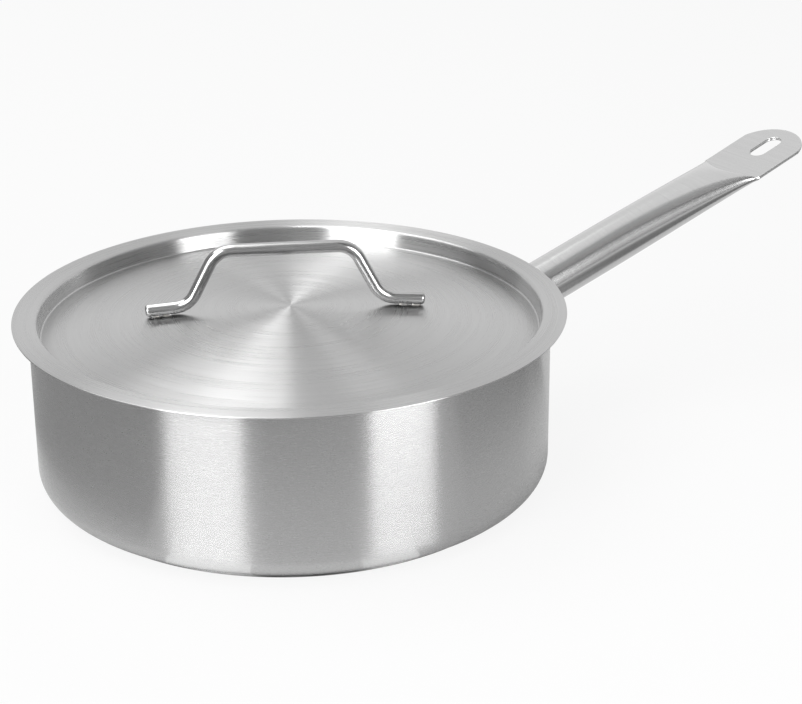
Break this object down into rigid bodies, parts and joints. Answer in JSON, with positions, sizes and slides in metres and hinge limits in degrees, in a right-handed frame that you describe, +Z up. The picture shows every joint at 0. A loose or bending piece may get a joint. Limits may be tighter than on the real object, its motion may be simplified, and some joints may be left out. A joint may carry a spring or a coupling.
{
  "type": "saute pan with lid",
  "caption": "Straight-sided steel saute pan with a sandwich base, a pressed tube handle with a hanging slot, and a loose plug lid with a bent rod grip.",
  "frame": {"origin": "middle of the base's underside, on the surface the pan stands on", "axes": "+X along the pan handle, away from the pan; +Z up along the pan's axis"},
  "size_m": [0.4509, 0.2568, 0.1157],
  "materials": {
    "pan_steel": "brushed round the wall",
    "base_steel": "spun satin",
    "core_aluminium": "plain, hidden inside the base",
    "lid_steel": "spin brushed in rings",
    "grip_steel": "polished stainless rod",
    "handle_steel": "satin, brushed across the tube",
    "weld_steel": "dull weld metal"
  },
  "bodies": {
    "pan": {"pan_body": "pan_steel", "base_cap": "base_steel", "base_core": "core_aluminium", "handle_saddle": "handle_steel", "saddle_spot_1": "weld_steel", "saddle_spot_2": "weld_steel", "saddle_spot_3": "weld_steel", "saddle_spot_4": "weld_steel", "handle_tube": "handle_steel", "handle_weld": "weld_steel"},
    "lid": {"lid_shell": "lid_steel", "lid_grip": "grip_steel", "lid_weld_1": "weld_steel", "lid_weld_2": "weld_steel", "lid_weld_3": "weld_steel", "lid_weld_4": "weld_steel"}
  },
  "joints": [
    {"name": "lid_lift", "type": "slide", "parent": "pan", "child": "lid", "axis": [0, 0, 1], "range_m": [0, 0.12]}
  ]
}
